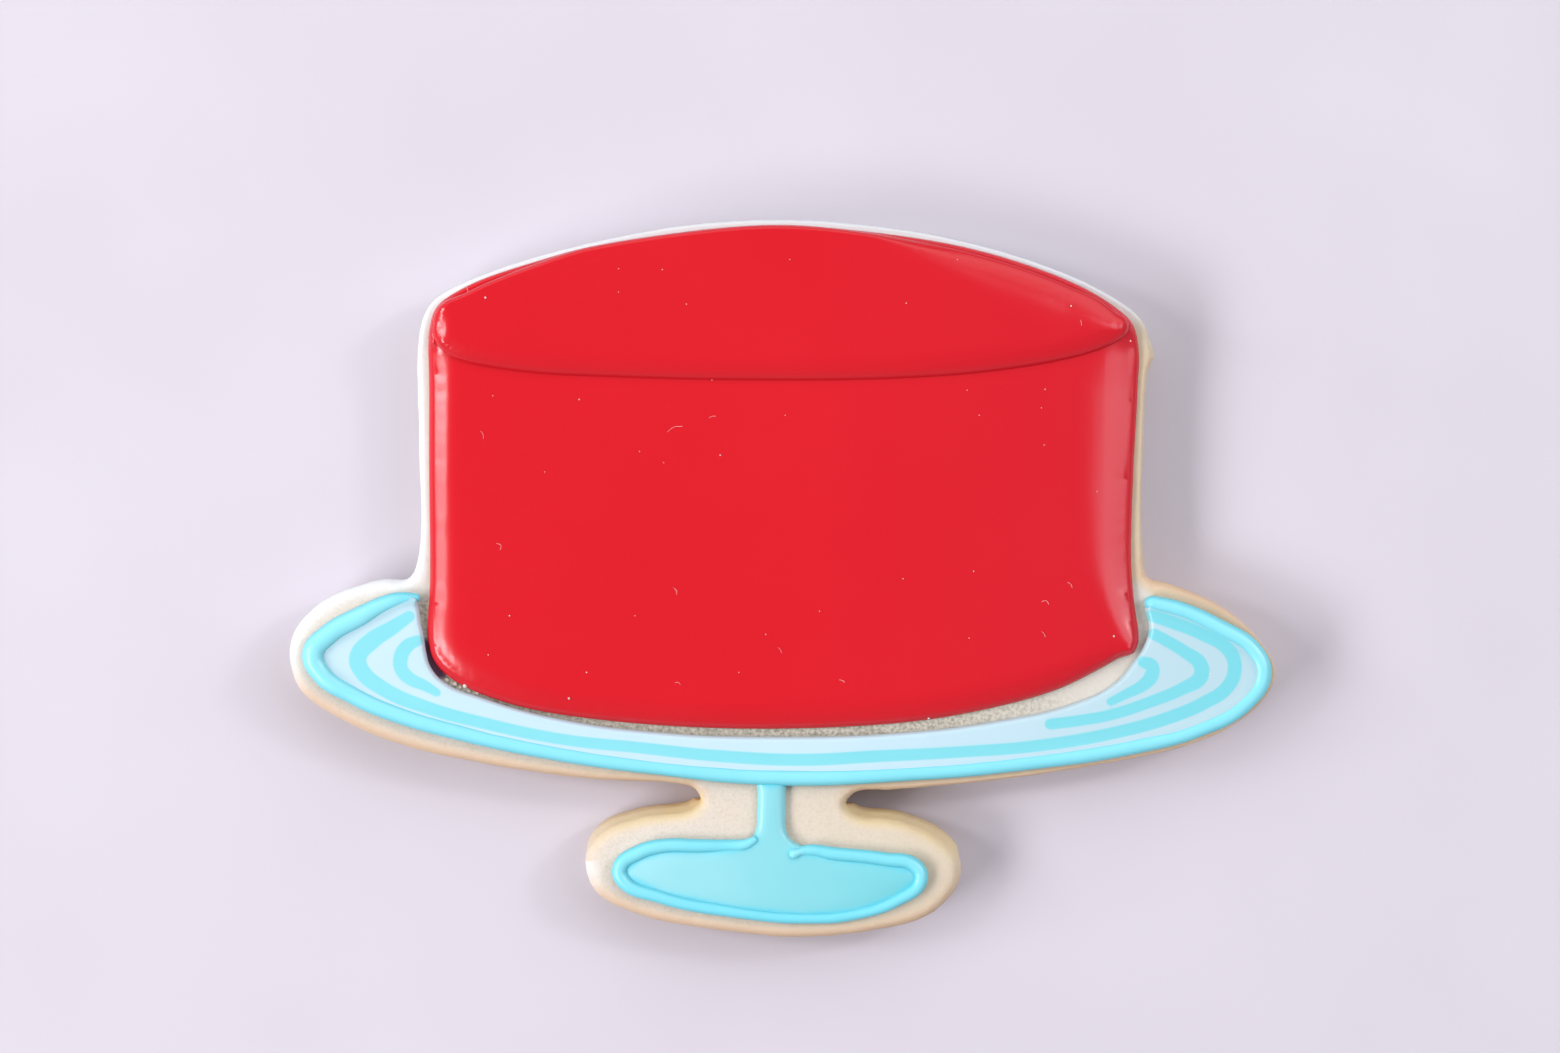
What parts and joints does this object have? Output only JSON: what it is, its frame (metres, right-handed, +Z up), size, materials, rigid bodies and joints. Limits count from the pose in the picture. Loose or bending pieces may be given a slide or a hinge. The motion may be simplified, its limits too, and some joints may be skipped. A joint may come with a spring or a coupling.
{
  "type": "iced sugar cookie",
  "caption": "Flat sugar cookie cut as a cake on a footed stand, with raised glossy icing, lying face up.",
  "frame": {"origin": "on the table, under the middle of the cookie's bounding box", "axes": "+X along the plate of the stand, to the right as the cookie is seen, +Y towards the crown of the cake, +Z up out of the icing"},
  "size_m": [0.1069, 0.0778, 0.0095],
  "materials": {
    "baked_cookie": "matt, fine crumb, pale on top and tan at the sides",
    "red_icing": "satin gloss royal icing",
    "pale_blue_icing": "soft gloss royal icing",
    "teal_icing": "soft gloss royal icing"
  },
  "bodies": {
    "root": {"cookie": "baked_cookie", "cake_side_icing": "red_icing", "cake_top_icing": "red_icing", "plate_flood_icing": "pale_blue_icing", "plate_outline_icing": "teal_icing", "stem_and_foot_icing": "teal_icing", "foot_outline_icing": "teal_icing"}
  },
  "joints": []
}
